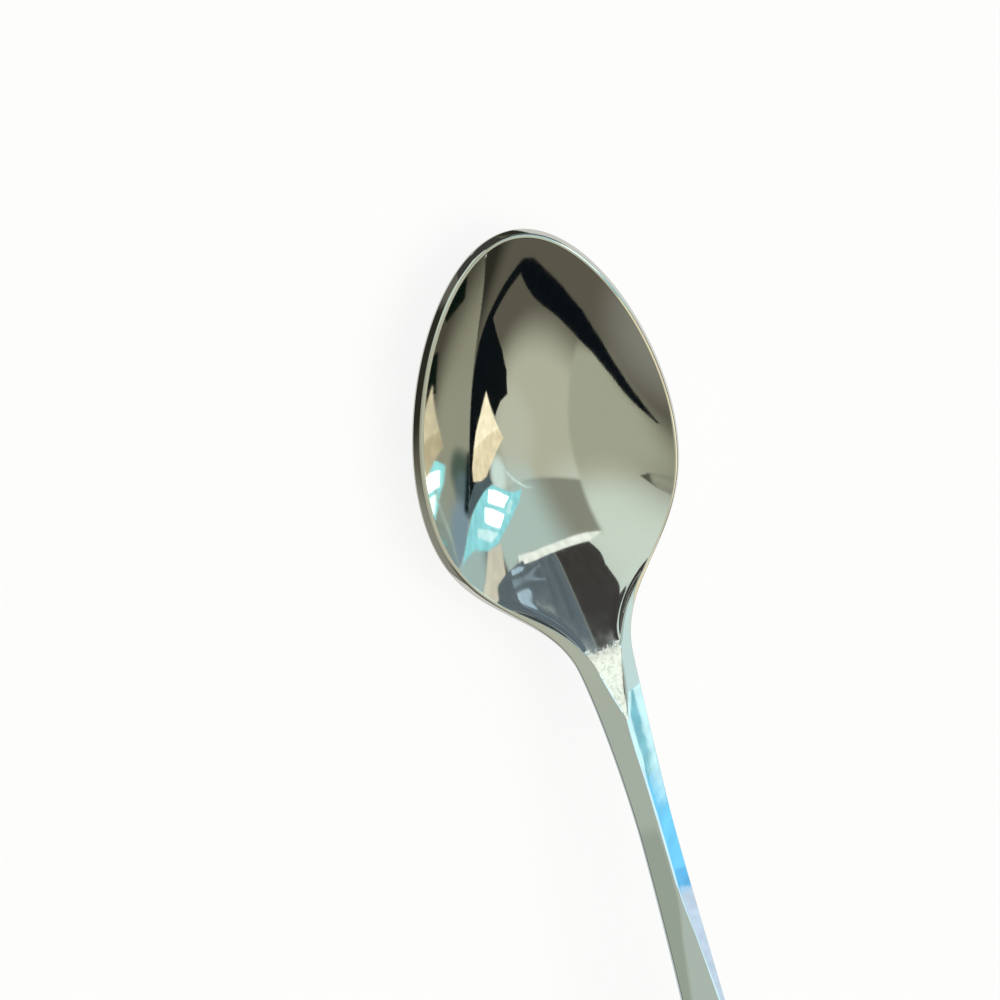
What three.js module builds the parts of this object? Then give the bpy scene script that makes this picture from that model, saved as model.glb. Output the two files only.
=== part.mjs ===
// Iced teaspoon in polished stainless steel: an egg-shaped bowl on a long slim handle.
// The bowl with its neck and the handle are two blanks, butt-welded at the waist and dressed
// flush, so the two solids share one flat section there and meet face to face.
// Millimetres, +Z up. The spoon lies on a table at z = 0 with its bowl towards +Y and its middle
// at y = 0. A station is the distance from the tip of the bowl, measured along the table.

import * as THREE from 'three';
import { mergeVertices } from 'three/addons/utils/BufferGeometryUtils.js';

// Outline seen from above
const LENGTH = 190;
const BOWL_WIDTH = 30.4;
const WIDEST_STATION = 23.4;
const TIP_FULLNESS = 8.3;
const TIP_SHOULDER = 10.1;
const HEEL_SHOULDER = 13.0;
const NECK_STATION = 44.0;
const NECK_WIDTH = 6.79;
const NECK_TAPER = 0.267;
const NECK_LEAD_IN = 7.15;
const NECK_LEAD_OUT = 1.8;
const WAIST_STATION = 62.8;
const WAIST_WIDTH = 4.13;
const WAIST_LEAD_IN = 6.0;
const WAIST_LEAD_OUT = 25.5;
const END_WIDTH = 11.0;
const END_LEAD_IN = 41.0;
const END_ROUND = 6.0;

// Bowl: depth inside at its widest station, the share by which it deepens from there to the tip,
// its wall, and how much fuller (or leaner, below 0) its sides are than a parabola
const BOWL_DEPTH = 6.9;
const TIP_DEEPENING = 0.46;
const BOWL_WALL = 1.3;
const BOWL_FULLNESS = -0.08;

// Rim of the bowl: a land that falls outwards by this slope, a chamfer this far in and down, then
// upright to the full drop
const RIM_LAND = 0.38;
const LAND_SLOPE = 0.2;
const RIM_CHAMFER = 0.45;
const RIM_CHAMFER_DROP = 0.55;
const RIM_DROP = 0.75;

// Edge of the handle, which thins beside the neck and thickens again towards the end
const EDGE_CHAMFER = 0.15;
const EDGE_CHAMFER_DROP = 0.18;
const NECK_EDGE_DROP = 0.3;
const END_EDGE_DROP = 0.8;
const EDGE_THINS_FROM = 36;
const EDGE_THINS_TO = 50;

// Back of the neck and handle: crown below the edge
const NECK_CROWN = 1.6;
const END_CROWN = 1.1;
const CROWN_START = 30;
const CROWN_FULL = 50;
const BOWL_BACK_RUNS_OUT = 60;

// Top of the neck: the hollow of the bowl runs out in a flute between two bevels
const FLUTE_START = 36.0;
const FLUTE_END = 50.5;
const FLUTE_SHARPNESS = 1.6;

// Floor of the hollow: straight up the heel, then turned on to the root of the neck, which it
// meets a little higher than the edges. A flatness of 2 makes its section a parabola, and more
// than 2 a flat floor between steeper sides.
const RAMP_START = 33.4;
const RAMP_FULL = 36.4;
const RAMP_SLOPE = 0.588;
const RAMP_TOP = 44.0;
const RAMP_TOP_RISE = 0.4;
const RAMP_TOP_SPREAD = 0.2;
const RAMP_FADES_FROM = 46.0;
const RAMP_FLATNESS = 3;

// Top of the handle: the land of the rim steepens into two bevels that meet in a narrow ridge, and
// further back the ridge opens into a flat panel
const RIDGE_WIDTH = 0.32;
const BEVEL_START = 49.6;
const BEVEL_FULL = 66.6;
const BEVEL_SLOPE = 0.442;
const PANEL_START = 67.9;
const PANEL_OPENING = 0.105;
const PANEL_LEAD_IN = 6;
const PANEL_BLEND = 0.12;
const END_BEVEL = 0.5;

// Side view: the run of the edge, as bends that each turn it by so many mm per mm
const TIP_LIFT = 0.5;
const NECK_BEND_STATION = 36.45;
const NECK_BEND_TURN = 0.474;
const NECK_BEND_SPREAD = 1.37;
const EASE_BEND_STATION = 43.4;
const EASE_BEND_TURN = -0.325;
const EASE_BEND_SPREAD = 4.94;
const ARCH_STATION = 108;
const ARCH_SPREAD = 11;

// The belly of the bowl and the heel of the handle are rubbed flat where they rest on the table
const BELLY_FLAT_DEPTH = 0.15;
const HEEL_FLAT_DEPTH = 0.08;
const HEEL_FROM_END = 1.8;

// Facets: rows along each stretch of the outline, and steps across the spoon
const TIP_ROWS = 24;
const HEEL_ROWS = 20;
const NECK_ROWS = 18;
const HANDLE_ROWS = 64;
const END_ROWS = 8;
const STEPS_ACROSS = 20;
const BELLY_STEPS = 200;

const { clamp, lerp, smoothstep } = THREE.MathUtils;

const bowlHalf = BOWL_WIDTH / 2;
const neckHalf = NECK_WIDTH / 2;
const waistHalf = WAIST_WIDTH / 2;
const endHalf = END_WIDTH / 2;
const ridgeHalf = RIDGE_WIDTH / 2;
const hollowHalf = bowlHalf - RIM_CHAMFER - RIM_LAND;
const endStation = LENGTH - END_ROUND;
const backDepth = BOWL_DEPTH + BOWL_WALL - RIM_DROP;

// Half of the outline, tip to end. Each point holds a station and a half width.
const at = (station, half) => new THREE.Vector2(station, half);

const tipCurve = new THREE.CubicBezierCurve(
  at(0, 0),
  at(0, TIP_FULLNESS),
  at(WIDEST_STATION - TIP_SHOULDER, bowlHalf),
  at(WIDEST_STATION, bowlHalf),
);
const heelCurve = new THREE.CubicBezierCurve(
  at(WIDEST_STATION, bowlHalf),
  at(WIDEST_STATION + HEEL_SHOULDER, bowlHalf),
  at(NECK_STATION - NECK_LEAD_IN, neckHalf + NECK_TAPER * NECK_LEAD_IN),
  at(NECK_STATION, neckHalf),
);
const neckCurve = new THREE.CubicBezierCurve(
  at(NECK_STATION, neckHalf),
  at(NECK_STATION + NECK_LEAD_OUT, neckHalf - NECK_TAPER * NECK_LEAD_OUT),
  at(WAIST_STATION - WAIST_LEAD_IN, waistHalf),
  at(WAIST_STATION, waistHalf),
);
const handleCurve = new THREE.CubicBezierCurve(
  at(WAIST_STATION, waistHalf),
  at(WAIST_STATION + WAIST_LEAD_OUT, waistHalf),
  at(endStation - END_LEAD_IN, endHalf),
  at(endStation, endHalf),
);

// The run of a bend's edge: level before it, turned after it, eased over its spread
function bend(station, bendStation, spread) {
  const past = (station - bendStation) / spread;
  return spread * (Math.max(past, 0) + Math.log1p(Math.exp(-Math.abs(past))));
}

// Share of the way from the widest station to the tip, below 0 behind the widest station
function towardsTip(station) {
  return (WIDEST_STATION - station) / WIDEST_STATION;
}

function tipLift(station) {
  return TIP_LIFT * Math.max(0, towardsTip(station)) ** 2;
}

// How much deeper the bowl is than at its widest station
function deepening(station) {
  return 1 + TIP_DEEPENING * towardsTip(station);
}

// Depth of a dish at a share of its full width, 0 at the rim and 1 in the middle
function dish(share) {
  return share * (1 + BOWL_FULLNESS * (1 - share));
}

// The lowest point of the belly rests on the table, and that sets the height of the rim
const bellyDepths = tipCurve.getPoints(BELLY_STEPS).map(({ x: station, y: half }) => {
  const belly = backDepth * deepening(station) * dish((half / bowlHalf) ** 2);
  return RIM_DROP + belly - tipLift(station);
});
const rimHeight = Math.max(...bellyDepths) - BELLY_FLAT_DEPTH;

// Height of the edge before the arch takes it down to the table
function risingEdge(station) {
  return rimHeight
    + tipLift(station)
    + NECK_BEND_TURN * bend(station, NECK_BEND_STATION, NECK_BEND_SPREAD)
    + EASE_BEND_TURN * bend(station, EASE_BEND_STATION, EASE_BEND_SPREAD);
}

// The arch turns the handle down just enough for its heel to rest on the table
const heelStation = LENGTH - HEEL_FROM_END;
const heelReach = (heelStation - endStation) / END_ROUND;
const heelHeight = END_EDGE_DROP + END_CROWN * (1 - heelReach ** 2) - HEEL_FLAT_DEPTH;
const archTurn = (heelHeight - risingEdge(heelStation)) / bend(heelStation, ARCH_STATION, ARCH_SPREAD);

function edgeHeight(station) {
  return risingEdge(station) + archTurn * bend(station, ARCH_STATION, ARCH_SPREAD);
}

// Height of the straight floor of the hollow, and the share it has in the floor
const rampTopHeight = edgeHeight(RAMP_TOP) + RAMP_TOP_RISE;
const rootSlope = (edgeHeight(FLUTE_END) - rampTopHeight) / (FLUTE_END - RAMP_TOP);

function rampHeight(station) {
  return rampTopHeight
    + RAMP_SLOPE * (station - RAMP_TOP)
    - (RAMP_SLOPE - rootSlope) * bend(station, RAMP_TOP, RAMP_TOP_SPREAD);
}

function rampShare(station) {
  return smoothstep(station, RAMP_START, RAMP_FULL)
    * (1 - smoothstep(station, RAMP_FADES_FROM, FLUTE_END));
}

// Share of the handle's length behind the waist, from 0 there to 1 at its end
function alongHandle(station) {
  return clamp((station - WAIST_STATION) / (endStation - WAIST_STATION), 0, 1);
}

// A size that changes from the bowl's rim to the handle's edge
function rimToEdge(rim, edge, station) {
  return lerp(rim, edge, smoothstep(station, EDGE_THINS_FROM, EDGE_THINS_TO));
}

function chamfer(station) {
  return rimToEdge(RIM_CHAMFER, EDGE_CHAMFER, station);
}

function chamferDrop(station) {
  return rimToEdge(RIM_CHAMFER_DROP, EDGE_CHAMFER_DROP, station);
}

function edgeDrop(station) {
  const handleDrop = lerp(NECK_EDGE_DROP, END_EDGE_DROP, alongHandle(station));
  return rimToEdge(RIM_DROP, handleDrop, station);
}

// How far the flute has run out: 0 in the bowl, 1 from its point onwards
function fluteRunOut(station) {
  return clamp((station - FLUTE_START) / (FLUTE_END - FLUTE_START), 0, 1) ** FLUTE_SHARPNESS;
}

// Half width inside the bevels: the hollow of the bowl and flute, then the ridge, then the panel
function innerHalf(station, half) {
  const runOut = fluteRunOut(station);
  const hollow = half - chamfer(station) - RIM_LAND;
  const past = Math.max(0, station - PANEL_START);
  const opening = PANEL_OPENING * past * smoothstep(past, 0, PANEL_LEAD_IN);
  const open = lerp(hollow, ridgeHalf + opening, runOut);
  if (past === 0) return open;
  const most = half - chamfer(station) - END_BEVEL;
  return open - PANEL_BLEND * Math.log1p(Math.exp((open - most) / PANEL_BLEND));
}

// Slope from the inner edge down to the chamfer: the land's in the bowl, the bevels' on the handle
function bevelSlope(station) {
  return lerp(LAND_SLOPE, BEVEL_SLOPE, smoothstep(station, BEVEL_START, BEVEL_FULL));
}

// One row of the outline: its outer edge, the top of its chamfer and its inner edge,
// each with a station and a half width. At the two round ends the rows follow the outline.
function straightRow(outer) {
  const top = at(outer.x, outer.y - chamfer(outer.x));
  const inner = at(outer.x, innerHalf(outer.x, outer.y));
  return { outer, top, inner, fullHalf: outer.y };
}

function roundRow(outer, outward, land, fullHalf) {
  const top = outer.clone().addScaledVector(outward, -chamfer(outer.x));
  const inner = top.clone().addScaledVector(outward, -land);
  return { outer, top, inner, fullHalf };
}

function tipRow(t) {
  const along = tipCurve.getTangent(t);
  return roundRow(tipCurve.getPoint(t), at(-along.y, along.x), RIM_LAND, bowlHalf);
}

function endRow(t) {
  const angle = t * Math.PI / 2;
  const outer = at(endStation + END_ROUND * Math.sin(angle), endHalf * Math.cos(angle));
  const outward = at(endHalf * Math.sin(angle), END_ROUND * Math.cos(angle)).normalize();
  const bevel = endHalf - EDGE_CHAMFER - innerHalf(endStation, endHalf);
  return roundRow(outer, outward, bevel, endHalf);
}

// The two ends close on the spoon's centre line
function onCentreLine(row) {
  for (const point of [row.outer, row.top, row.inner]) point.y = 0;
  return row;
}

function point(station, x, height) {
  return new THREE.Vector3(x, LENGTH / 2 - station, Math.max(height, 0));
}

// The closed section of the spoon at one row: across the top, round the right edge,
// back under the spoon and round the left edge
function section(row) {
  const { outer, top, inner, fullHalf } = row;
  const bevel = top.distanceTo(inner);
  const innerHeight = edgeHeight(inner.x) + bevel * bevelSlope(inner.x);
  const hollow = BOWL_DEPTH * deepening(inner.x) * (1 - fluteRunOut(inner.x));
  const dishFloor = innerHeight - hollow * dish((inner.y / hollowHalf) ** 2);
  const rampDepth = (dishFloor - rampHeight(inner.x)) * rampShare(inner.x);
  const outerHeight = edgeHeight(outer.x) - edgeDrop(outer.x);
  const bowlBack = backDepth * deepening(outer.x)
    * (1 - smoothstep(outer.x, NECK_STATION, BOWL_BACK_RUNS_OUT));
  const crown = lerp(NECK_CROWN, END_CROWN, alongHandle(outer.x))
    * smoothstep(outer.x, CROWN_START, CROWN_FULL);

  const topPoints = [];
  const backPoints = [];
  for (let step = 0; step <= STEPS_ACROSS; step += 1) {
    const share = 2 * step / STEPS_ACROSS - 1;
    const inside = 1 - share ** 2;
    const dishDepth = hollow * dish(inside * (inner.y / hollowHalf) ** 2);
    const hollowDepth = dishDepth + rampDepth * (1 - Math.abs(share) ** RAMP_FLATNESS);
    topPoints.push(point(inner.x, share * inner.y, innerHeight - hollowDepth));
    const belly = bowlBack * dish(inside * (outer.y / bowlHalf) ** 2);
    const crownDepth = crown * inside * (outer.y / fullHalf) ** 2;
    backPoints.push(point(outer.x, share * outer.y, outerHeight - belly - crownDepth));
  }
  const edge = (side) => [
    point(top.x, side * top.y, edgeHeight(top.x)),
    point(outer.x, side * outer.y, edgeHeight(outer.x) - chamferDrop(outer.x)),
  ];
  return [...topPoints, ...edge(1), ...backPoints.reverse(), ...edge(-1).reverse()];
}

// A closed skin over a run of sections. An end that hasn't closed to the centre line gets
// a flat face across its section.
function skin(rows) {
  const rings = rows.map(section);
  const count = rings[0].length;
  const faces = [];
  const quad = (a, b, c, d) => faces.push(a, b, c, a, c, d);
  for (let i = 0; i + 1 < rings.length; i += 1) {
    for (let j = 0; j < count; j += 1) {
      const next = (j + 1) % count;
      quad(i * count + j, (i + 1) * count + j, (i + 1) * count + next, i * count + next);
    }
  }
  const flatFace = (base, facing) => {
    const above = (k) => base + (count - 1 + k) % count;
    const below = (k) => base + count - 2 - k;
    for (let k = 0; k < count / 2 - 1; k += 1) {
      const corners = [above(k), above(k + 1), below(k + 1), below(k)];
      quad(...(facing > 0 ? corners : corners.reverse()));
    }
  };
  if (rows[0].outer.y > 0) flatFace(0, 1);
  if (rows[rows.length - 1].outer.y > 0) flatFace((rings.length - 1) * count, -1);

  const geometry = new THREE.BufferGeometry();
  geometry.setAttribute('position', new THREE.Float32BufferAttribute(
    rings.flat().flatMap((corner) => corner.toArray()),
    3,
  ));
  geometry.setIndex(faces);
  const merged = mergeVertices(geometry);
  const index = Array.from(merged.index.array);
  const kept = [];
  for (let k = 0; k < index.length; k += 3) {
    const [a, b, c] = index.slice(k, k + 3);
    if (a !== b && b !== c && c !== a) kept.push(a, b, c);
  }
  merged.setIndex(kept);
  merged.computeVertexNormals();
  return merged;
}

// Rows along a stretch of the outline, from its start up to and including its end
function rowsAlong(count, makeRow) {
  const rows = [];
  for (let i = 1; i <= count; i += 1) rows.push(makeRow(i / count));
  return rows;
}

const waistRow = straightRow(at(WAIST_STATION, waistHalf));

const bowlRows = [
  onCentreLine(tipRow(0)),
  ...rowsAlong(TIP_ROWS, tipRow),
  ...rowsAlong(HEEL_ROWS, (t) => straightRow(heelCurve.getPoint(t))),
  ...rowsAlong(NECK_ROWS - 1, (t) => straightRow(neckCurve.getPoint(t * (1 - 1 / NECK_ROWS)))),
  waistRow,
];

const handleRows = [
  waistRow,
  ...rowsAlong(HANDLE_ROWS, (t) => straightRow(handleCurve.getPoint(t))),
  ...rowsAlong(END_ROWS - 1, (t) => endRow(t * (1 - 1 / END_ROWS))),
  onCentreLine(endRow(1)),
];

function piece(name, rows, colour) {
  const steel = new THREE.MeshStandardMaterial({ color: colour, metalness: 1, roughness: 0.08 });
  const mesh = new THREE.Mesh(skin(rows), steel);
  mesh.name = name;
  return mesh;
}

const spoon = new THREE.Group();
spoon.add(piece('bowl', bowlRows, 0xc8c7c0));
spoon.add(piece('handle', handleRows, 0xc6c7c2));

export default spoon;
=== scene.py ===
import math
from collections import namedtuple

import bmesh
import bpy
import numpy as np
from mathutils import Matrix, Vector


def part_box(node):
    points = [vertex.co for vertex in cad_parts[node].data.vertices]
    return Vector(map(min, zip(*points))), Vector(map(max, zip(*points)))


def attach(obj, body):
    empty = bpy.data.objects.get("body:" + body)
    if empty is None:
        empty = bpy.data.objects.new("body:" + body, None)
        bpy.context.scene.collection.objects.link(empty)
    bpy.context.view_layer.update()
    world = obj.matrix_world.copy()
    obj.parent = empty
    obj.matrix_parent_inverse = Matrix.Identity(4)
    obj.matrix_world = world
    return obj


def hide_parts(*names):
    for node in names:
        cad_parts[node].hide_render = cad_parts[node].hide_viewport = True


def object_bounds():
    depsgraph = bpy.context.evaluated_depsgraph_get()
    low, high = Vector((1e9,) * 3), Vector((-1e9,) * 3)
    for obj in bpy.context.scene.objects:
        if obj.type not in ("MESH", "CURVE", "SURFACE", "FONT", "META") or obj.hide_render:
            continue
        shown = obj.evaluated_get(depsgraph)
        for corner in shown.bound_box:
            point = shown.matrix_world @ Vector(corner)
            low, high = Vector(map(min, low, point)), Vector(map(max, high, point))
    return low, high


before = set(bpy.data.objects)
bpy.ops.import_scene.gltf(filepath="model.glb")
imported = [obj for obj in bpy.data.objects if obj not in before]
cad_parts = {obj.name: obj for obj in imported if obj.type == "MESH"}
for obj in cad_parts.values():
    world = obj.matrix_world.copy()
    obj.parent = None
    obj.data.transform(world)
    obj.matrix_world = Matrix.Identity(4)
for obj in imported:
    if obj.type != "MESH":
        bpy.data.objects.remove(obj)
cad_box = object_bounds()

# Bowl and neck
# One blank of stainless steel, drawn into an egg-shaped bowl and forged down to a slim neck.
# The rim is ground flat and chamfered outside, and the hollow runs out between two bevels.
MM = 0.001

# Outline seen from above. A station is the distance from the tip of the bowl along the table.
LENGTH = cad_box[1].y - cad_box[0].y
BOWL_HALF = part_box("bowl")[1].x
WIDEST_STATION = 23.4 * MM
TIP_FULLNESS = 8.3 * MM
TIP_SHOULDER = 10.1 * MM
HEEL_SHOULDER = 13.0 * MM
NECK_STATION = 44.0 * MM
NECK_HALF = 6.79 * MM / 2
NECK_TAPER = 0.267
NECK_LEAD_IN = 7.15 * MM
NECK_LEAD_OUT = 1.8 * MM
WAIST_STATION = LENGTH / 2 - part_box("bowl")[0].y
WAIST_HALF = 4.13 * MM / 2
WAIST_LEAD_IN = 6.0 * MM
END_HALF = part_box("handle")[1].x
END_ROUND = 6.0 * MM
END_STATION = LENGTH - END_ROUND

# Hollow and wall of the bowl
BOWL_DEPTH = 6.9 * MM
TIP_DEEPENING = 0.46
BOWL_WALL = 1.3 * MM
BOWL_FULLNESS = -0.08
FLUTE_START = 36.0 * MM
FLUTE_END = 50.5 * MM
FLUTE_SHARPNESS = 1.6
RAMP_START = 33.4 * MM
RAMP_FULL = 36.4 * MM
RAMP_SLOPE = 0.588
RAMP_TOP = 44.0 * MM
RAMP_TOP_RISE = 0.4 * MM
RAMP_TOP_SPREAD = 0.07 * MM
RAMP_FADES_FROM = 46.0 * MM
RAMP_FLATNESS = 12
RIDGE_HALF = 0.32 * MM / 2
BLAST_STARTS = (42.4 * MM, 44.2 * MM)

# Rim and edges: a land that falls outwards, a chamfer outside it, and a short upright wall below
RIM_LAND = 0.38 * MM
LAND_SLOPE = 0.2
RIM_CHAMFER = 0.45 * MM
RIM_CHAMFER_DROP = 0.55 * MM
RIM_DROP = 0.75 * MM
EDGE_CHAMFER = 0.08 * MM
EDGE_CHAMFER_DROP = 0.1 * MM
NECK_EDGE_DROP = 0.3 * MM
END_EDGE_DROP = 0.8 * MM
EDGE_THINS_FROM = 31.0 * MM
EDGE_THINS_TO = 45.0 * MM
RIM_FACET = 0.16 * MM
RIM_FACET_FALL = 0.06 * MM
EDGE_FACET = 0.04 * MM
CORNER_EASE = 0.06 * MM
RIDGE_EASE = 0.3 * MM
BROW_EASE_SHARE = 0.3

# Crown of the back, and slope of the two bevels on top
NECK_CROWN = 1.6 * MM
END_CROWN = 1.1 * MM
CROWN_START = 30.0 * MM
CROWN_FULL = 50.0 * MM
BOWL_BACK_RUNS_OUT = 60.0 * MM
BEVEL_START = 49.6 * MM
BEVEL_FULL = 66.6 * MM
BEVEL_SLOPE = 0.442

# Side view: each bend has its station, the slope that it adds and the length it is spread over
TIP_LIFT = 0.5 * MM
NECK_BEND = (36.45 * MM, 0.474, 1.37 * MM)
EASE_BEND = (43.4 * MM, -0.325, 4.94 * MM)
ARCH_STATION = 108.0 * MM
ARCH_SPREAD = 11.0 * MM
BELLY_FLAT_DEPTH = 0.15 * MM
REST_FLAT_DEPTH = 0.08 * MM
REST_FROM_END = 1.8 * MM
REST_STATION = LENGTH - REST_FROM_END

# Facets
TIP_ROWS = 64
HEEL_ROWS = 100
NECK_ROWS = 64
TOP_STEPS = 44
TOP_CROWDING = 0.7
BACK_STEPS = 40
CORNER_STEPS = 4
OUTLINE_FINENESS = 12
BELLY_STEPS = 400
WELD = 0.0001 * MM

HOLLOW_HALF = BOWL_HALF - RIM_CHAMFER - RIM_LAND
BACK_DEPTH = BOWL_DEPTH + BOWL_WALL - RIM_DROP

# Half of the outline in three stretches, each a cubic curve of stations and half widths
TIP_CURVE = (
    (0.0, 0.0),
    (0.0, TIP_FULLNESS),
    (WIDEST_STATION - TIP_SHOULDER, BOWL_HALF),
    (WIDEST_STATION, BOWL_HALF),
)
HEEL_CURVE = (
    (WIDEST_STATION, BOWL_HALF),
    (WIDEST_STATION + HEEL_SHOULDER, BOWL_HALF),
    (NECK_STATION - NECK_LEAD_IN, NECK_HALF + NECK_TAPER * NECK_LEAD_IN),
    (NECK_STATION, NECK_HALF),
)
NECK_CURVE = (
    (NECK_STATION, NECK_HALF),
    (NECK_STATION + NECK_LEAD_OUT, NECK_HALF - NECK_TAPER * NECK_LEAD_OUT),
    (WAIST_STATION - WAIST_LEAD_IN, WAIST_HALF),
    (WAIST_STATION, WAIST_HALF),
)

# A row of the spoon: a point of its outline (station and half width), the direction outwards
# from it, how far inside the outline the bevel or land ends, and the width its crown spans
Row = namedtuple("Row", "outer outward inset span")


def lerp(start, end, share):
    return start + (end - start) * share


def smoothstep(value, start, end):
    share = min(max((value - start) / (end - start), 0.0), 1.0)
    return share * share * (3.0 - 2.0 * share)


def bezier(points, t):
    a, b, c, d = (Vector(point) for point in points)
    u = 1.0 - t
    return a * u ** 3 + b * (3 * u * u * t) + c * (3 * u * t * t) + d * t ** 3


def bezier_way(points, t):
    a, b, c, d = (Vector(point) for point in points)
    u = 1.0 - t
    return ((b - a) * u * u + (c - b) * (2 * u * t) + (d - c) * t * t).normalized()


def bend(value, at, spread):
    """Nothing before a bend and the distance past it after, with a soft turn between."""
    return spread * np.logaddexp(0.0, (value - at) / spread)


def towards_tip(station):
    return (WIDEST_STATION - station) / WIDEST_STATION


def tip_lift(station):
    return TIP_LIFT * max(0.0, towards_tip(station)) ** 2


def deepening(station):
    return 1.0 + TIP_DEEPENING * towards_tip(station)


def dish(share):
    return share * (1.0 + BOWL_FULLNESS * (1.0 - share))


def belly_depth(t):
    station, half = bezier(TIP_CURVE, t)
    belly = BACK_DEPTH * deepening(station) * dish((half / BOWL_HALF) ** 2)
    return RIM_DROP + belly - tip_lift(station)


# The lowest point of the belly rests on the table, and that sets the height of the rim
RIM_HEIGHT = max(belly_depth(step / BELLY_STEPS) for step in range(BELLY_STEPS)) - BELLY_FLAT_DEPTH


def rising_edge(station):
    height = RIM_HEIGHT + tip_lift(station)
    for at, turn, spread in (NECK_BEND, EASE_BEND):
        height += turn * bend(station, at, spread)
    return height


# The arch turns the handle down just enough for its end to rest on the table
REST_REACH = (REST_STATION - END_STATION) / END_ROUND
REST_HEIGHT = END_EDGE_DROP + END_CROWN * (1.0 - REST_REACH ** 2) - REST_FLAT_DEPTH
ARCH_DROP = REST_HEIGHT - rising_edge(REST_STATION)
ARCH_TURN = ARCH_DROP / bend(REST_STATION, ARCH_STATION, ARCH_SPREAD)


def edge_height(station):
    return rising_edge(station) + ARCH_TURN * bend(station, ARCH_STATION, ARCH_SPREAD)


def along_handle(station):
    return min(max((station - WAIST_STATION) / (END_STATION - WAIST_STATION), 0.0), 1.0)


def along_edge(rim, edge, station):
    return lerp(rim, edge, smoothstep(station, EDGE_THINS_FROM, EDGE_THINS_TO))


def edge_drop(station):
    handle_drop = lerp(NECK_EDGE_DROP, END_EDGE_DROP, along_handle(station))
    return along_edge(RIM_DROP, handle_drop, station)


def flute_run_out(station):
    share = (station - FLUTE_START) / (FLUTE_END - FLUTE_START)
    return min(max(share, 0.0), 1.0) ** FLUTE_SHARPNESS


# The floor of the hollow runs straight up the heel, then turns on to the root of the neck
RAMP_TOP_HEIGHT = edge_height(RAMP_TOP) + RAMP_TOP_RISE
ROOT_SLOPE = (edge_height(FLUTE_END) - RAMP_TOP_HEIGHT) / (FLUTE_END - RAMP_TOP)


def ramp_height(station):
    turn = (RAMP_SLOPE - ROOT_SLOPE) * bend(station, RAMP_TOP, RAMP_TOP_SPREAD)
    return RAMP_TOP_HEIGHT + RAMP_SLOPE * (station - RAMP_TOP) - turn


def ramp_share(station):
    starts = smoothstep(station, RAMP_START, RAMP_FULL)
    return starts * (1.0 - smoothstep(station, RAMP_FADES_FROM, FLUTE_END))


def bevel_slope(station):
    return lerp(LAND_SLOPE, BEVEL_SLOPE, smoothstep(station, BEVEL_START, BEVEL_FULL))


def back_height(station, x, half, span):
    belly = BACK_DEPTH * deepening(station)
    belly *= 1.0 - smoothstep(station, NECK_STATION, BOWL_BACK_RUNS_OUT)
    crown = lerp(NECK_CROWN, END_CROWN, along_handle(station))
    crown *= smoothstep(station, CROWN_START, CROWN_FULL)
    inside = half * half - x * x
    edge = edge_height(station) - edge_drop(station)
    height = edge - belly * dish(inside / BOWL_HALF ** 2) - crown * inside / span ** 2
    return max(height, 0.0)


def eased(corners, eases):
    """Points round a run of corners, each corner eased into a short curve."""
    points = []
    for before, corner, after, ease in zip(corners, corners[1:], corners[2:], eases):
        start = corner.lerp(before, min(ease / (before - corner).length, 0.5))
        end = corner.lerp(after, min(ease / (after - corner).length, 0.5))
        for step in range(CORNER_STEPS + 1):
            t = step / CORNER_STEPS
            points.append(start.lerp(corner, t).lerp(corner.lerp(end, t), t))
    return points


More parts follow.
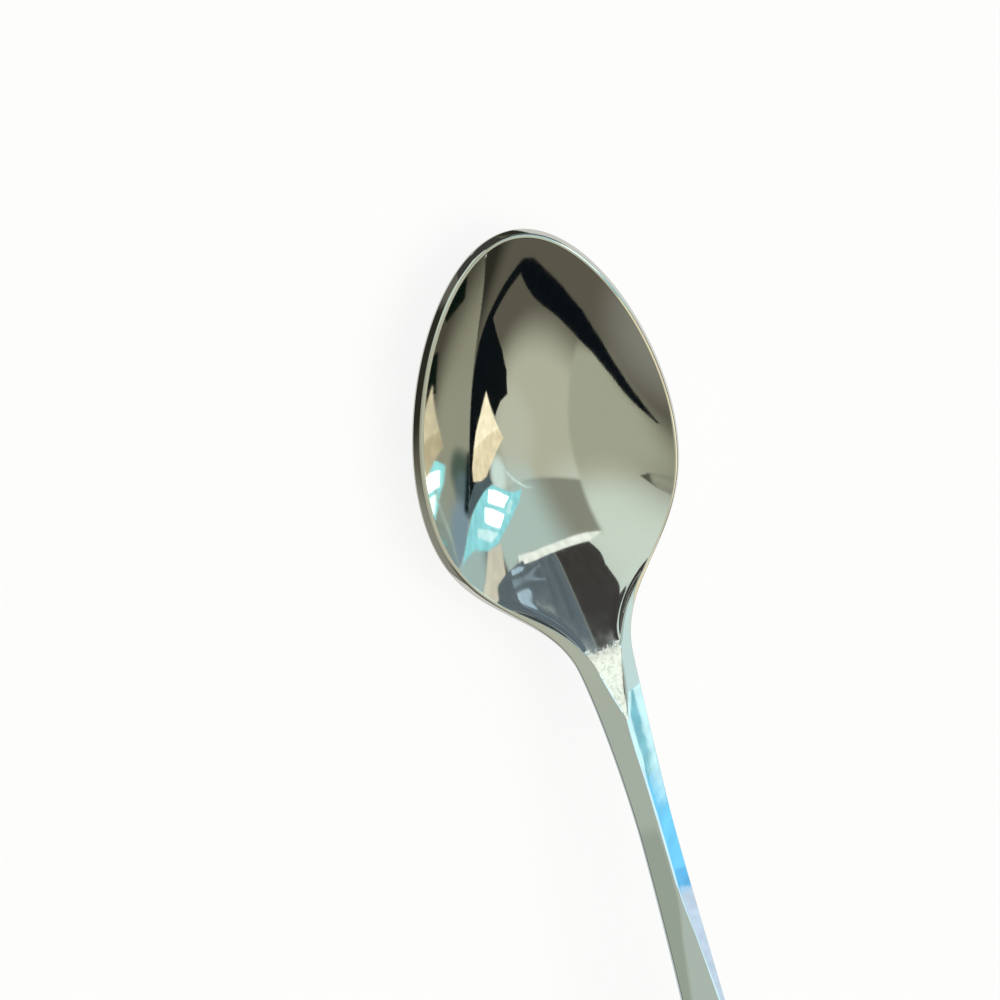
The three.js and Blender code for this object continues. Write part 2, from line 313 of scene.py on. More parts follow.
def half_section(row, outer_edge, inner_edge):
    """Right half of the spoon's section at one row, from the middle of its top to its back."""
    def inside(inset):
        station, half = row.outer - row.outward * inset
        return station, max(half, 0.0)

    def point(station, half, height):
        return Vector((half, LENGTH / 2 - station, min(height, cad_box[1].z)))

    station, half = row.outer
    chamfer = along_edge(RIM_CHAMFER, EDGE_CHAMFER, station)
    chamfer_drop = along_edge(RIM_CHAMFER_DROP, EDGE_CHAMFER_DROP, station)
    inner = inside(row.inset)
    shoulder = inside(chamfer)
    bevel_rise = (row.inset - chamfer) * bevel_slope(inner[0])

    # The top and the back start two eases in from their corners, so that these can be eased
    brow_ease = CORNER_EASE if row.outward.x else min(CORNER_EASE, BROW_EASE_SHARE * inner[1])
    brow, brow_half = inside(row.inset + 2 * brow_ease)
    hollow_half = np.interp(brow, *inner_edge)
    hollow = BOWL_DEPTH * deepening(brow) * (1.0 - flute_run_out(brow))
    floor_height = edge_height(brow) + bevel_rise - hollow * dish((hollow_half / HOLLOW_HALF) ** 2)
    ramp_depth = (floor_height - ramp_height(brow)) * ramp_share(brow)
    top = []
    for step in range(TOP_STEPS + 1):
        u = step / TOP_STEPS
        x = brow_half * lerp(u, math.sin(u * math.pi / 2), TOP_CROWDING)
        inside_edge = hollow_half ** 2 - x * x
        depth = hollow * dish(inside_edge / HOLLOW_HALF ** 2)
        depth += ramp_depth * (1.0 - (x / max(hollow_half, RIDGE_HALF)) ** RAMP_FLATNESS)
        top.append(point(brow, x, edge_height(brow) + bevel_rise - depth))

    under, under_half = inside(2 * CORNER_EASE)
    back_half = np.interp(under, *outer_edge)
    back = []
    for step in range(BACK_STEPS + 1):
        x = under_half * math.cos(step / BACK_STEPS * math.pi / 2)
        back.append(point(under, x, back_height(under, x, back_half, row.span)))

    facet_width = along_edge(RIM_FACET, EDGE_FACET, station)
    facet_fall = along_edge(RIM_FACET_FALL, 0.0, station)
    facet = inside(chamfer + facet_width)
    corners = [
        top[-1],
        point(*inner, edge_height(inner[0]) + bevel_rise),
        point(*facet, edge_height(facet[0]) + facet_width * bevel_slope(facet[0])),
        point(*shoulder, edge_height(shoulder[0]) - facet_fall),
        point(station, half, edge_height(station) - chamfer_drop),
        point(station, half, back_height(station, half, half, row.span)),
        back[0],
    ]
    ridge_ease = along_edge(CORNER_EASE, RIDGE_EASE, station)
    eases = [ridge_ease, CORNER_EASE, CORNER_EASE, CORNER_EASE, CORNER_EASE]
    return [*top, *eased(corners, eases), *back]


def tip_row(t):
    way = bezier_way(TIP_CURVE, t)
    return Row(bezier(TIP_CURVE, t), Vector((-way.y, way.x)), RIM_CHAMFER + RIM_LAND, BOWL_HALF)


def bowl_row(curve, t):
    outer = bezier(curve, t)
    chamfer = along_edge(RIM_CHAMFER, EDGE_CHAMFER, outer.x)
    inner_half = lerp(outer.y - chamfer - RIM_LAND, RIDGE_HALF, flute_run_out(outer.x))
    return Row(outer, Vector((0.0, 1.0)), outer.y - inner_half, outer.y)


def loft(name, make_rows):
    """Skins the right half of a run of rows, mirrors it and closes its ends."""
    outline = make_rows(OUTLINE_FINENESS)
    outer_edge = np.transpose([row.outer for row in outline])
    inner_edge = np.transpose([row.outer - row.outward * row.inset for row in outline])
    sections = [half_section(row, outer_edge, inner_edge) for row in make_rows(1)]
    last_row = len(sections) - 1
    last_step = len(sections[0]) - 1
    shell = bmesh.new()
    bmesh.ops.create_grid(shell, x_segments=last_row, y_segments=last_step, size=0.5)
    blasted = shell.verts.layers.float.new("blasted")
    for vert in shell.verts:
        row = round((vert.co.x + 0.5) * last_row)
        step = round((vert.co.y + 0.5) * last_step)
        vert.co = sections[row][step]
        station = LENGTH / 2 - vert.co.y
        if step <= TOP_STEPS and station < FLUTE_END:
            vert[blasted] = smoothstep(station, *BLAST_STARTS)
    half = [*shell.verts, *shell.edges, *shell.faces]
    bmesh.ops.mirror(shell, geom=half, axis="X", merge_dist=WELD)
    bmesh.ops.remove_doubles(shell, verts=shell.verts, dist=WELD)
    end_edges = [edge for edge in shell.edges if edge.is_boundary]
    bmesh.ops.holes_fill(shell, edges=end_edges)
    for face in shell.faces:
        face.smooth = True
    for edge in end_edges:
        edge.smooth = False
    bmesh.ops.recalc_face_normals(shell, faces=shell.faces)
    mesh = bpy.data.meshes.new(name)
    shell.to_mesh(mesh)
    shell.free()
    piece = bpy.data.objects.new(name, mesh)
    bpy.context.scene.collection.objects.link(piece)
    return piece


def shares(count, fineness):
    """Even shares of a stretch, from 0 up to but not including 1."""
    return [step / (count * fineness) for step in range(count * fineness)]


def bowl_rows(fineness):
    return [
        *(tip_row(t) for t in shares(TIP_ROWS, fineness)),
        *(bowl_row(HEEL_CURVE, t) for t in shares(HEEL_ROWS, fineness)),
        *(bowl_row(NECK_CURVE, t) for t in [*shares(NECK_ROWS, fineness), 1.0]),
    ]


bowl = loft("bowl_and_neck", bowl_rows)


def linear(hex_colour):
    """An sRGB hex colour as the linear values that shaders take."""
    channels = [int(hex_colour[k:k + 2], 16) / 255 for k in (1, 3, 5)]
    return [c / 12.92 if c <= 0.04045 else ((c + 0.055) / 1.055) ** 2.4 for c in channels] + [1.0]


def add_node(tree, kind, settings=None, links=None):
    """Adds a node, sets its sockets and properties by name, and links outputs into its sockets."""
    node = tree.nodes.new(kind)
    for key, value in (settings or {}).items():
        if isinstance(key, int) or key in node.inputs:
            node.inputs[key].default_value = value
        else:
            setattr(node, key, value)
    for key, output in (links or {}).items():
        tree.links.new(output, node.inputs[key])
    return node


def new_material(name):
    material = bpy.data.materials.new(name)
    material.use_nodes = True
    material.node_tree.nodes.clear()
    return material, material.node_tree


# Polished stainless steel: forged, ground and buffed to a mirror, so it shows the room. Its colour
# is a warm grey in the bowl and turns to a cooler grey along the neck and handle, a painted tint
# that stands in for the bluer reflections there. The wheel leaves broad waves and fine lines, drawn
# coarser than real ones to show. The root of the neck, which the wheel can't reach, keeps the pale
# grain of the blasted blank.
WAVE_LENGTH = 6.0 * MM
WAVE_HEIGHT = 0.02 * MM
BUFFING_WIDTH = 0.12 * MM
BUFFING_LENGTH = 6.0 * MM
BUFFING_DEPTH = 0.0004 * MM
MOTTLE_SIZE = 0.9 * MM
GRAIN_SIZE = 0.35 * MM
GRAIN_DEPTH = 0.05 * MM
GRAIN_METALLIC = 0.3
BUFFED_ROUGHNESS = (0.02, 0.07)
GRAIN_ROUGHNESS = (0.2, 0.5)
BLAST_EDGE = (0.9, 1.15)
SPECK_EDGE = (0.32, 0.56)

steel, tree = new_material("polished_stainless_steel")
place = add_node(tree, "ShaderNodeTexCoord").outputs["Object"]
along = add_node(tree, "ShaderNodeMapping", {
    "Scale": (1 / BUFFING_WIDTH, 1 / BUFFING_LENGTH, 1 / BUFFING_WIDTH),
}, {"Vector": place})
waves = add_node(tree, "ShaderNodeTexNoise", {"Scale": 1 / WAVE_LENGTH, "Detail": 0.0}, {
    "Vector": place,
})
lines = add_node(tree, "ShaderNodeTexNoise", {"Scale": 1.0}, {"Vector": along.outputs["Vector"]})
mottle = add_node(tree, "ShaderNodeTexNoise", {"Scale": 1 / MOTTLE_SIZE}, {"Vector": place})
grain = add_node(tree, "ShaderNodeTexNoise", {"Scale": 1 / GRAIN_SIZE, "Detail": 4.0}, {
    "Vector": place,
})

blasted = add_node(tree, "ShaderNodeAttribute", {"attribute_name": "blasted"})
ragged = add_node(tree, "ShaderNodeMath", {"operation": "ADD"}, {
    0: blasted.outputs["Fac"],
    1: grain.outputs["Fac"],
})
rough_share = add_node(tree, "ShaderNodeMapRange", {
    "interpolation_type": "SMOOTHSTEP",
    "From Min": BLAST_EDGE[0],
    "From Max": BLAST_EDGE[1],
}, {"Value": ragged.outputs["Value"]}).outputs["Result"]

buffed_roughness = add_node(tree, "ShaderNodeMapRange", {
    "To Min": BUFFED_ROUGHNESS[0],
    "To Max": BUFFED_ROUGHNESS[1],
}, {"Value": mottle.outputs["Fac"]})
grain_roughness = add_node(tree, "ShaderNodeMapRange", {
    "To Min": GRAIN_ROUGHNESS[0],
    "To Max": GRAIN_ROUGHNESS[1],
}, {"Value": grain.outputs["Fac"]})
roughness = add_node(tree, "ShaderNodeMix", links={
    0: rough_share,
    2: buffed_roughness.outputs["Result"],
    3: grain_roughness.outputs["Result"],
})
length = add_node(tree, "ShaderNodeSeparateXYZ", links={"Vector": place}).outputs["Y"]
# Painted reflection tint: from the flute on, the steel's colour turns from warm grey to a cooler
# blue-grey.
painted_cool_share = add_node(tree, "ShaderNodeMapRange", {
    "From Min": LENGTH / 2 - FLUTE_START,
    "From Max": LENGTH / 2 - FLUTE_END,
}, {"Value": length})
buffed_colour_and_painted_tint = add_node(tree, "ShaderNodeMix", {
    "data_type": "RGBA",
    6: linear("#c6c5bf"),
    7: linear("#b9c2c7"),
}, {0: painted_cool_share.outputs["Result"]})
specks = add_node(tree, "ShaderNodeMapRange", {
    "interpolation_type": "SMOOTHSTEP",
    "From Min": SPECK_EDGE[0],
    "From Max": SPECK_EDGE[1],
}, {"Value": grain.outputs["Fac"]})
grain_colour = add_node(tree, "ShaderNodeMix", {
    "data_type": "RGBA",
    6: linear("#d8dad2"),
    7: linear("#f6f4ef"),
}, {0: specks.outputs["Result"]})
colour = add_node(tree, "ShaderNodeMix", {"data_type": "RGBA"}, {
    0: rough_share,
    6: buffed_colour_and_painted_tint.outputs[2],
    7: grain_colour.outputs[2],
})
metal = add_node(tree, "ShaderNodeMapRange", {
    "To Min": 1.0,
    "To Max": GRAIN_METALLIC,
}, {"Value": rough_share})
wavy = add_node(tree, "ShaderNodeBump", {"Distance": WAVE_HEIGHT}, {"Height": waves.outputs["Fac"]})
lined = add_node(tree, "ShaderNodeBump", {"Distance": BUFFING_DEPTH}, {
    "Height": lines.outputs["Fac"],
    "Normal": wavy.outputs["Normal"],
})
grained = add_node(tree, "ShaderNodeBump", {"Distance": GRAIN_DEPTH}, {
    "Strength": rough_share,
    "Height": grain.outputs["Fac"],
    "Normal": lined.outputs["Normal"],
})
shader = add_node(tree, "ShaderNodeBsdfPrincipled", links={
    "Base Color": colour.outputs[2],
    "Metallic": metal.outputs["Result"],
    "Roughness": roughness.outputs[0],
    "Normal": grained.outputs["Normal"],
})
add_node(tree, "ShaderNodeOutputMaterial", links={"Surface": shader.outputs["BSDF"]})

bowl.data.materials.append(steel)
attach(bowl, "root")
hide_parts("bowl")

# Handle
# The second blank, rolled and ground long and slim, butt-welded to the neck at the waist and
# dressed flush. Two bevels meet in a ridge that opens into a flat panel towards the round end.
WAIST_LEAD_OUT = 25.5 * MM
END_LEAD_IN = 41.0 * MM
PANEL_START = 67.9 * MM
PANEL_OPENING = 0.105
PANEL_LEAD_IN = 6.0 * MM
PANEL_BLEND = 0.12 * MM
END_BEVEL = 0.5 * MM
HANDLE_ROWS = 170
END_ROWS = 28
HANDLE_CURVE = (
    (WAIST_STATION, WAIST_HALF),
    (WAIST_STATION + WAIST_LEAD_OUT, WAIST_HALF),
    (END_STATION - END_LEAD_IN, END_HALF),
    (END_STATION, END_HALF),
)


def panel_half(station, half):
    past = max(0.0, station - PANEL_START)
    open_half = RIDGE_HALF + PANEL_OPENING * past * smoothstep(past, 0.0, PANEL_LEAD_IN)
    most = half - EDGE_CHAMFER - END_BEVEL
    return open_half - bend(open_half, most, PANEL_BLEND)


def handle_row(t):
    outer = bezier(HANDLE_CURVE, t)
    return Row(outer, Vector((0.0, 1.0)), outer.y - panel_half(*outer), outer.y)


def end_row(t):
    angle = t * math.pi / 2
    outer = Vector((END_STATION + END_ROUND * math.sin(angle), END_HALF * math.cos(angle)))
    outward = Vector((END_HALF * math.sin(angle), END_ROUND * math.cos(angle))).normalized()
    if t == 1.0:
        outer.y = 0.0
        outward = Vector((1.0, 0.0))
    return Row(outer, outward, END_HALF - panel_half(END_STATION, END_HALF), END_HALF)


def handle_rows(fineness):
    return [
        *(handle_row(t) for t in shares(HANDLE_ROWS, fineness)),
        *(end_row(t) for t in [*shares(END_ROWS, fineness), 1.0]),
    ]


handle = loft("long_handle", handle_rows)
handle.data.materials.append(steel)
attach(handle, "root")
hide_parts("handle")

# Floor
# A plain sheet of white card under the spoon, matt, so it takes only the spoon's soft shadow.
FLOOR_SIZE = 4.0
FLOOR_CELLS = 8
FIBRE_SIZE = 2.0 * MM
floor_mesh = bmesh.new()
bmesh.ops.create_grid(
    floor_mesh, x_segments=FLOOR_CELLS, y_segments=FLOOR_CELLS, size=FLOOR_SIZE / 2,
)
floor_data = bpy.data.meshes.new("floor")
floor_mesh.to_mesh(floor_data)
floor_mesh.free()
floor = bpy.data.objects.new("floor", floor_data)
bpy.context.scene.collection.objects.link(floor)

# Matt white card, lit by the lamp and the room. Most of its white is its own, so that it stays
# even to the edges of the picture and in the steel, and the rest takes the soft shadow.
OWN_WHITE = 0.85
paper, tree = new_material("matt_white_card")
fibre = add_node(tree, "ShaderNodeTexNoise", {"Scale": 1 / FIBRE_SIZE}, {
    "Vector": add_node(tree, "ShaderNodeTexCoord").outputs["Object"],
})
tone = add_node(tree, "ShaderNodeMix", {
    "data_type": "RGBA",
    6: linear("#f4f4f2"),
    7: linear("#fafaf8"),
}, {0: fibre.outputs["Fac"]})
matt = add_node(tree, "ShaderNodeBsdfDiffuse", links={"Color": tone.outputs[2]})
path = add_node(tree, "ShaderNodeLightPath")
seen = add_node(tree, "ShaderNodeMath", {"operation": "MAXIMUM"}, {
    0: path.outputs["Is Camera Ray"],
    1: path.outputs["Is Glossy Ray"],
})
seen = add_node(tree, "ShaderNodeMath", {"operation": "MAXIMUM"}, {
    0: seen.outputs["Value"],
    1: path.outputs["Is Transmission Ray"],
})
share = add_node(tree, "ShaderNodeMath", {"operation": "MULTIPLY", 1: OWN_WHITE}, {
    0: seen.outputs["Value"],
})
white = add_node(tree, "ShaderNodeEmission")
surface = add_node(tree, "ShaderNodeMixShader", links={
    0: share.outputs["Value"],
    1: matt.outputs["BSDF"],
    2: white.outputs["Emission"],
})
add_node(tree, "ShaderNodeOutputMaterial", links={"Surface": surface.outputs["Shader"]})
floor.data.materials.append(paper)

# Camera
# Above the bowl, leaning to its left and towards its tip, turned so that the handle runs off
# the bottom of the frame.
CAMERA_LEAN = math.radians(25.96)
CAMERA_FORWARD = math.radians(15.86)
CAMERA_ROLL = math.radians(-11.9)
CAMERA_DISTANCE = 304.0 * MM
CAMERA_OFF_CENTRE = (5.275 * MM, 4.146 * MM)
CAMERA_CLEARANCE = 10.0 * MM
FOCAL_LENGTH = 109.5
SENSOR_WIDTH = 36.0

aim = Vector((0.0, LENGTH / 2 - WIDEST_STATION, RIM_HEIGHT))
back = Vector((
    -math.sin(CAMERA_LEAN),
    math.sin(CAMERA_FORWARD) * math.cos(CAMERA_LEAN),
    math.cos(CAMERA_FORWARD) * math.cos(CAMERA_LEAN),
))
right = Vector((0.0, 1.0, 0.0)).cross(back).normalized()
upright = Matrix((right, back.cross(right), back)).transposed()
turn = upright @ Matrix.Rotation(CAMERA_ROLL, 3, "Z")
camera_data = bpy.data.cameras.new("camera")
camera_data.lens = FOCAL_LENGTH
camera_data.sensor_width = SENSOR_WIDTH
camera_data.clip_start = CAMERA_CLEARANCE
camera = bpy.data.objects.new("camera", camera_data)
bpy.context.scene.collection.objects.link(camera)
offset = Vector((-CAMERA_OFF_CENTRE[0], -CAMERA_OFF_CENTRE[1], CAMERA_DISTANCE))
camera.matrix_world = Matrix.Translation(aim + turn @ offset) @ turn.to_4x4()
bpy.context.scene.camera = camera
bpy.context.scene.view_settings.view_transform = "Standard"

# Studio
# A plain room, seen in the steel: a warm ceiling, pale walls, a window and a blind on the right
# and dark furniture beyond the tip, with a soft lamp overhead. Places in it are given in degrees
# from straight up, to the right and towards the tip.
ROOM_LIGHT = 1.8
WALLS_DARKEN_BELOW = math.radians(14)
WALLS_DARK_BELOW = math.radians(5)
SAME_DEPTH = 0.5
WORLD_SECOND_DEPTH = 3.0


def direction(to_right, to_tip):
    from_zenith = math.radians(math.hypot(to_right, to_tip))
    turned = math.atan2(to_right, to_tip)
    level = math.sin(from_zenith)
    return Vector((level * math.sin(turned), level * math.cos(turned), math.cos(from_zenith)))


world = bpy.data.worlds.new("room")
bpy.context.scene.world = world
world.use_nodes = True
walls = world.node_tree
walls.nodes.clear()
way = add_node(walls, "ShaderNodeTexCoord").outputs["Generated"]
height = add_node(walls, "ShaderNodeSeparateXYZ", links={"Vector": way}).outputs["Z"]
from_zenith = add_node(walls, "ShaderNodeMath", {"operation": "ARCCOSINE"}, {0: height})
degrees = add_node(walls, "ShaderNodeMath", {"operation": "DEGREES"}, {
    0: from_zenith.outputs["Value"],
})
level = add_node(walls, "ShaderNodeVectorMath", {
    "operation": "MULTIPLY",
    1: (1.0, 1.0, 0.0),
}, {0: way})
heading = add_node(walls, "ShaderNodeVectorMath", {"operation": "NORMALIZE"}, {
    0: level.outputs["Vector"],
})
chart = add_node(walls, "ShaderNodeVectorMath", {"operation": "SCALE"}, {
    0: heading.outputs["Vector"],
    "Scale": degrees.outputs["Value"],
}).outputs["Vector"]


def paint(under, colour, share, again=False):
    """Lays a colour over a share of the room, or over its second reflection alone."""
    if again:
        second = add_node(walls, "ShaderNodeMath", {
            "operation": "COMPARE",
            1: WORLD_SECOND_DEPTH,
            2: SAME_DEPTH,
        }, {0: add_node(walls, "ShaderNodeLightPath").outputs["Ray Depth"]})
        share = add_node(walls, "ShaderNodeMath", {"operation": "MULTIPLY"}, {
            0: share,
            1: second.outputs["Value"],
        }).outputs["Value"]
    painted = add_node(walls, "ShaderNodeMix", {
        "data_type": "RGBA",
        7: linear(colour),
    }, {0: share, 6: under})
    return painted.outputs[2]


def glow(under, colour, centre, full, gone, again=False):
    """A round patch of the room that fades out between two angles from its centre."""
    facing = add_node(walls, "ShaderNodeVectorMath", {
        "operation": "DOT_PRODUCT",
        1: direction(*centre),
    }, {0: way})
    share = add_node(walls, "ShaderNodeMapRange", {
        "interpolation_type": "SMOOTHSTEP",
        "From Min": math.cos(math.radians(gone)),
        "From Max": math.cos(math.radians(full)),
    }, {"Value": facing.outputs["Value"]})
    return paint(under, colour, share.outputs["Result"], again)


def area(under, colour, corners, again=False):
    """A convex area of the room, each edge as soft as its corner says, in degrees."""
    share = None
    for (x, y, soft), (next_x, next_y, _) in zip(corners, corners[1:] + corners[:1]):
        inwards = Vector((next_y - y, x - next_x, 0.0)).normalized()
        past = add_node(walls, "ShaderNodeVectorMath", {
            "operation": "DOT_PRODUCT",
            1: inwards,
        }, {0: chart})
        edge = inwards.x * x + inwards.y * y
        side = add_node(walls, "ShaderNodeMapRange", {
            "interpolation_type": "SMOOTHSTEP",
            "From Min": edge - soft / 2,
            "From Max": edge + soft / 2,
        }, {"Value": past.outputs["Value"]}).outputs["Result"]
        if share is not None:
            side = add_node(walls, "ShaderNodeMath", {"operation": "MULTIPLY"}, {
                0: share,
                1: side,
            }).outputs["Value"]
        share = side
    return paint(under, colour, share, again)


far_wall = add_node(walls, "ShaderNodeRGB")
far_wall.outputs["Color"].default_value = linear("#58564b")
room = glow(far_wall.outputs["Color"], "#adaf9e", (4, -6), 32, 54)
room = glow(room, "#c6d4cb", (-14, 49), 6, 48)
room = glow(room, "#b1c0bb", (34, 11), 1, 18)
room = glow(room, "#b4b8a9", (27, -12), 3, 24)
near_floor = add_node(walls, "ShaderNodeMapRange", {
    "interpolation_type": "SMOOTHSTEP",
    "From Min": math.sin(WALLS_DARKEN_BELOW),
    "From Max": math.sin(WALLS_DARK_BELOW),
}, {"Value": height})
room = paint(room, "#2a2a23", near_floor.outputs["Result"])
room = glow(room, "#2a2a24", (-66, 36), 18, 30)
room = glow(room, "#5a5a54", (-36, 62), 10, 17)
room = glow(room, "#83837b", (-72, -46), 14, 36)
room = glow(room, "#9db3b2", (88, 17), 10, 18)
room = area(room, "#9da18f", [
    (-9, 16, 3), (-26, -43, 8), (-38, -40, 8), (-49, -14, 12), (-46, 6, 20),
])
room = area(room, "#82867a", [
    (-1.5, 35, 2), (8, 36.5, 2), (27, 36.5, 2), (61, 28, 2), (64, 19, 4), (42, 10, 3), (8, 14, 3),
    (-9, 16, 3),
])
room = area(room, "#a8bcb8", [
    (20, 36.5, 2), (27, 36.5, 2), (61, 28, 3), (64, 19, 3), (42, 10, 3), (22, 13, 26),
])
room = glow(room, "#c8dcd8", (50.5, 2.5), 3, 9)
room = glow(room, "#60746c", (28, -3.5), 2, 7, again=True)
room = glow(room, "#718993", (26, 1.5), 2, 6, again=True)
room = glow(room, "#9ab8ce", (26, 11), 3, 9, again=True)
room = area(room, "#12262a", [
    (25.3, 6, 1), (25, -9, 2), (20, -9, 1), (20, 6, 2),
], again=True)
light = add_node(walls, "ShaderNodeBackground", {"Strength": ROOM_LIGHT}, {"Color": room})
add_node(walls, "ShaderNodeOutputWorld", links={"Surface": light.outputs["Background"]})

# Cards on the walls draw what has a sharp edge in the steel. A card that laps over another hangs
# some steps nearer, and one with a bounce shows only in the first or in the second reflection.
ROOM_DISTANCE = 2.0
STEP_NEARER = 0.05
WALL_PATCH = 0.12
PATCH_LIMITS = (0.3, 0.7)
PATCH_CONTRAST = 0.14
PANE_LIGHT = 4.0
WINDOW_AGAIN_LIGHT = 3.2
PANE_AGAIN_LIGHT = 6.0
LOWER_PANE_AGAIN_LIGHT = 4.5


def card(name, colour, corners, patch, strength=ROOM_LIGHT, bounce=None):
    """A flat glowing card that only the steel sees, from its front, uneven in patches."""
    sheet = bmesh.new()
    sheet.faces.new([sheet.verts.new(corner) for corner in corners])
    data = bpy.data.meshes.new(name)
    sheet.to_mesh(data)
    sheet.free()
    material, tree = new_material(name)
    place = add_node(tree, "ShaderNodeTexCoord").outputs["Object"]
    patches = add_node(tree, "ShaderNodeTexNoise", {"Scale": 1 / patch, "Detail": 3.0}, {
        "Vector": place,
    })
    level = add_node(tree, "ShaderNodeMapRange", {
        "From Min": PATCH_LIMITS[0],
        "From Max": PATCH_LIMITS[1],
        "To Min": (1.0 - PATCH_CONTRAST) * strength,
        "To Max": (1.0 + PATCH_CONTRAST) * strength,
    }, {"Value": patches.outputs["Fac"]})
    front = add_node(tree, "ShaderNodeEmission", {"Color": linear(colour)}, {
        "Strength": level.outputs["Result"],
    })
    clear = add_node(tree, "ShaderNodeBsdfTransparent")
    hidden = add_node(tree, "ShaderNodeNewGeometry").outputs["Backfacing"]
    if bounce:
        shows = add_node(tree, "ShaderNodeMath", {
            "operation": "COMPARE",
            1: bounce,
            2: SAME_DEPTH,
        }, {0: add_node(tree, "ShaderNodeLightPath").outputs["Ray Depth"]})
        other = add_node(tree, "ShaderNodeMath", {"operation": "SUBTRACT", 0: 1.0}, {
            1: shows.outputs["Value"],
        })
        hidden = add_node(tree, "ShaderNodeMath", {"operation": "MAXIMUM"}, {
            0: hidden,
            1: other.outputs["Value"],
        }).outputs["Value"]
    both = add_node(tree, "ShaderNodeMixShader", links={
        0: hidden,
        1: front.outputs["Emission"],
        2: clear.outputs["BSDF"],
    })
    add_node(tree, "ShaderNodeOutputMaterial", links={"Surface": both.outputs["Shader"]})
    data.materials.append(material)
    sheet_object = bpy.data.objects.new(name, data)
    bpy.context.scene.collection.objects.link(sheet_object)
    sheet_object.visible_camera = False
    sheet_object.visible_diffuse = False
    sheet_object.visible_shadow = False


def room_card(name, colour, corners, nearer=0, strength=ROOM_LIGHT, bounce=None):
    """A card on the walls of the room, square to its middle as the bowl sees it."""
    ways = [direction(*corner) for corner in corners]
    middle = sum(ways, Vector()).normalized()
    distance = ROOM_DISTANCE - STEP_NEARER * nearer
    points = [aim + way * (distance / way.dot(middle)) for way in ways]
    outward = sum((a.cross(b) for a, b in zip(ways, ways[1:] + ways[:1])), Vector())
    if outward.dot(middle) > 0.0:
        points.reverse()
    card(name, colour, points, WALL_PATCH, strength, bounce)


room_card("cupboard", "#3b3938", [
    (9, 36.5), (7.5, 39.8), (5.5, 44), (-4, 50.3), (-7.6, 54.5), (-13.5, 62), (-14.5, 74), (0, 80),
    (20, 80), (38, 60), (38, 36),
])
room_card("cupboard_end", "#3b3938", [
    (-15.5, 47), (-15.5, 56), (-15.2, 62), (-13.5, 66), (-14, 74), (-34, 73), (-32, 54), (-26, 47),
])
room_card("slate_door", "#59656c", [
    (30.3, 37.2), (36, 36), (46, 33), (52, 30.2), (63, 26.2), (70, 24), (76, 26), (80, 34),
    (70, 60), (38, 60), (30.3, 46),
], nearer=1)
room_card("door_light", "#a3bccb", [
    (51.5, 32.3), (55, 30), (59.5, 27.9), (60.2, 27.7), (60, 29.4), (56.4, 31.2), (53, 32.6),
], nearer=2)
room_card("door_curve", "#8296a2", [
    (42, 37.1), (46.6, 36.3), (50.6, 35.4), (54.7, 34), (58.4, 32.1), (61.2, 30.4), (61, 29.9),
    (58.2, 31.5), (54.5, 33.4), (50.5, 34.9), (46.5, 35.9), (42, 36.8),
], nearer=2)
room_card("door_edge", "#7c847f", [
    (30.3, 37.2), (30.9, 37.1), (30.9, 43), (30.3, 43),
], nearer=2)
room_card("picture_rail", "#c4dcd9", [
    (46, -1), (43.6, 3.6), (37.6, 9.8), (30, 14.6), (24, 16), (29.6, 13.9), (36.7, 8.9), (42.7, 3),
    (45.2, -1),
], nearer=1)
room_card("shelf", "#e8f0ea", [
    (-2, 34.5), (8, 37.6), (28, 37.2), (44, 34.4), (54, 30.4), (53, 28.4), (43, 32.2), (27, 35),
    (8, 35),
], nearer=3)
room_card("door_post", "#c4c3b4", [
    (62, 20), (64, 26), (70, 24), (76, 26), (79, 17), (72, 15),
])
room_card("window", "#8ed6e0", [
    (34, 14), (40, 17.5), (52, 19.5), (64, 19), (72, 15), (80, 8), (88, 2), (78, 0.5), (66, 1.5),
    (58, 3), (50, 8), (42, 12.5),
])
room_card("pane_1", "#f4ffff", [
    (46.5, 12.5), (53, 13.6), (64.5, 5.9), (62, 3), (56, 6),
], nearer=1, strength=PANE_LIGHT)
room_card("pane_2", "#f4ffff", [
    (54, 15.6), (60, 16.8), (70, 8.6), (68, 5.6), (62, 9.6),
], nearer=1, strength=PANE_LIGHT)
room_card("pane_3", "#cdf6fb", [
    (62, 17.2), (68, 15.8), (77, 7.4), (76, 6), (69.5, 11),
], nearer=1)
room_card("pane_4", "#b9ecf2", [
    (44, 15), (50, 17.8), (52.5, 15.2), (46, 13.8),
], nearer=1)
room_card("window_sill", "#4d5c62", [
    (57, 2.8), (66, 1.5), (78, 0), (86, -2), (78, -4), (66, -5.5), (60, -1.5),
], nearer=1)
room_card("window_again", "#8ed6e0", [
    (37, -4.5), (45, -7), (58, -7), (58, 11), (44, 9), (37.5, 0),
], strength=WINDOW_AGAIN_LIGHT, bounce=2)
room_card("pane_again_1", "#f4ffff", [
    (41.5, -3.6), (58, -4.6), (58, 1.5), (41, 1),
], nearer=1, strength=PANE_AGAIN_LIGHT, bounce=2)
room_card("pane_again_2", "#d8fafa", [
    (43.5, 2.6), (58, 3), (58, 8.5), (45, 7.5),
], nearer=1, strength=LOWER_PANE_AGAIN_LIGHT, bounce=2)
room_card("blind_top", "#e3d8b8", [
    (38, -10), (52, -4), (61, -1.5), (66.5, -2.4), (73.4, -6), (72.6, -10), (69, -15), (41, -15),
], nearer=2)
room_card("blind", "#f6edcf", [
    (41, -15), (69, -15), (64.5, -20.5), (58, -25.5), (50, -33),
], nearer=2)
room_card("dark_doorway", "#0c1114", [
    (28, -28), (36, -26), (43, -21), (50, -33.5), (58, -25.5), (64, -15), (66, -6), (72, -2),
    (80, -2), (80, -10), (74, -22), (66, -36), (58, -50), (50, -57), (38, -63.5), (22, -68.5),
    (22, -66), (36, -61), (44, -56.5), (40, -53), (32, -46), (27.5, -38),
], bounce=1)
room_card("doorway_again", "#0c1a14", [
    (44.5, -42), (60, -42), (60, -30), (45, -29),
], bounce=2)
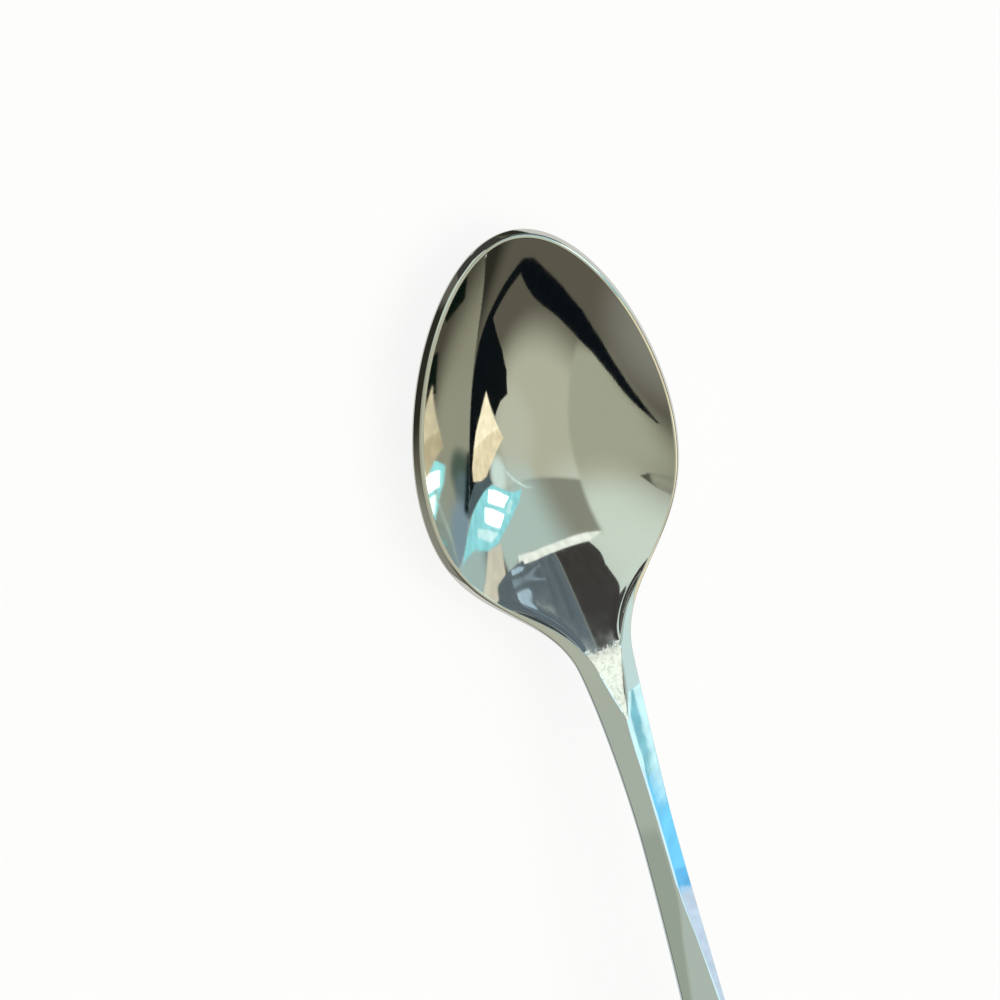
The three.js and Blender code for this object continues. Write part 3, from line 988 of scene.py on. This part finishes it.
room_card("beam_again", "#0c1a14", [
    (22, -51.5), (38, -49), (42, -52), (38, -58), (22, -58),
], bounce=2)
room_card("dark_beam", "#0a0f14", [
    (-48.5, -13), (-46.3, -24), (-43, -33), (-36, -44.5), (-27, -54), (-14, -61.5), (0, -66),
    (12, -68.5), (22, -68.5), (22, -66.2), (14, -63.2), (6, -60.2), (-2, -57.5), (-13, -53.5),
    (-23, -47.8), (-33, -40), (-40, -31), (-44.7, -21), (-48, -13),
])
room_card("picture", "#888c7d", [
    (-42, 7), (-37, 8.5), (-33.5, 11), (-34.5, 14.5), (-37.5, 17), (-39, 12),
])
room_card("picture_frame", "#4c5046", [
    (-37, 8.5), (-33.5, 11), (-34.5, 14.5), (-34.9, 12.2),
], nearer=1)

# A strip of sky stands upright beside the handle, edge on to the bowl, for the right bevel to show.
# Its outlines are in millimetres along it and up, and a patch that laps over it is that much nearer.
SKY_START = Vector((0.0, 58.0 * MM, 0.0))
SKY_TURN = math.radians(118)
SKY_WAY = Vector((math.sin(SKY_TURN), math.cos(SKY_TURN), 0.0))
SKY_PATCH = 6.0 * MM


def sky_card(name, colour, outline, nearer=0):
    front = SKY_START + Vector((SKY_WAY.y, -SKY_WAY.x, 0.0)) * nearer * MM
    places = [(front + SKY_WAY * along * MM, up * MM) for along, up in outline]
    card(name, colour, [(place.x, place.y, up) for place, up in places], SKY_PATCH)


sky_card("pale_sky", "#dcfffd", [
    (22, 16), (72, 16), (72, 42.4), (66, 43.1), (58, 43.2), (50, 42.5), (43.3, 40.9), (36.8, 38.4),
    (31.8, 35.05), (26.2, 31.2), (22, 27.9),
])
sky_card("teal_sky", "#84c0c8", [
    (22, 27.9), (26.2, 31.2), (31.8, 35.05), (36.8, 38.4), (43.3, 40.9), (50, 42.5), (53, 42.8),
    (53, 47), (46.3, 47), (46.3, 42.75), (39.4, 41.15), (34.6, 38.75), (29.6, 35.4), (25.2, 31.5),
    (22, 28.5),
])
sky_card("pale_sky_above", "#dcfffd", [
    (22, 28.5), (25.2, 31.5), (29.6, 35.4), (34.6, 38.75), (39.4, 41.15), (46.3, 42.75), (46.3, 82),
    (22, 82),
])
sky_card("blue_sky", "#7fd6fb", [
    (72, 16), (113, 16), (113, 82), (46.3, 82), (46.3, 47), (53, 47), (53, 42.8), (58, 43.2),
    (66, 43.1), (72, 42.4),
])
sky_card("deep_sky", "#6cbce8", [
    (101, 38), (113, 38), (111.5, 42), (115, 45), (110.5, 48), (114, 52), (112, 58), (103, 58),
    (99.5, 53), (104, 49), (100, 45), (103, 41),
], nearer=1)
sky_card("misty_sky", "#b3d3ea", [(113, 16), (120, 16), (120, 82), (113, 82)])
sky_card("hazy_sky", "#ced9e5", [(120, 16), (900, 16), (900, 82), (120, 82)])
sky_card("bright_sky", "#e2fbff", [(22, 82), (260, 82), (260, 260), (22, 260)])

# The lamp, a wide soft panel, lights the floor and stays out of the steel
LAMP_POWER = 11.0
LAMP_SIZE = 1.2
LAMP_HEIGHT = 1.5
lamp_data = bpy.data.lights.new("overhead_lamp", "AREA")
lamp_data.size = LAMP_SIZE
lamp_data.energy = LAMP_POWER
lamp = bpy.data.objects.new("overhead_lamp", lamp_data)
lamp.location = (0.0, 0.0, LAMP_HEIGHT)
lamp.visible_glossy = False
bpy.context.scene.collection.objects.link(lamp)
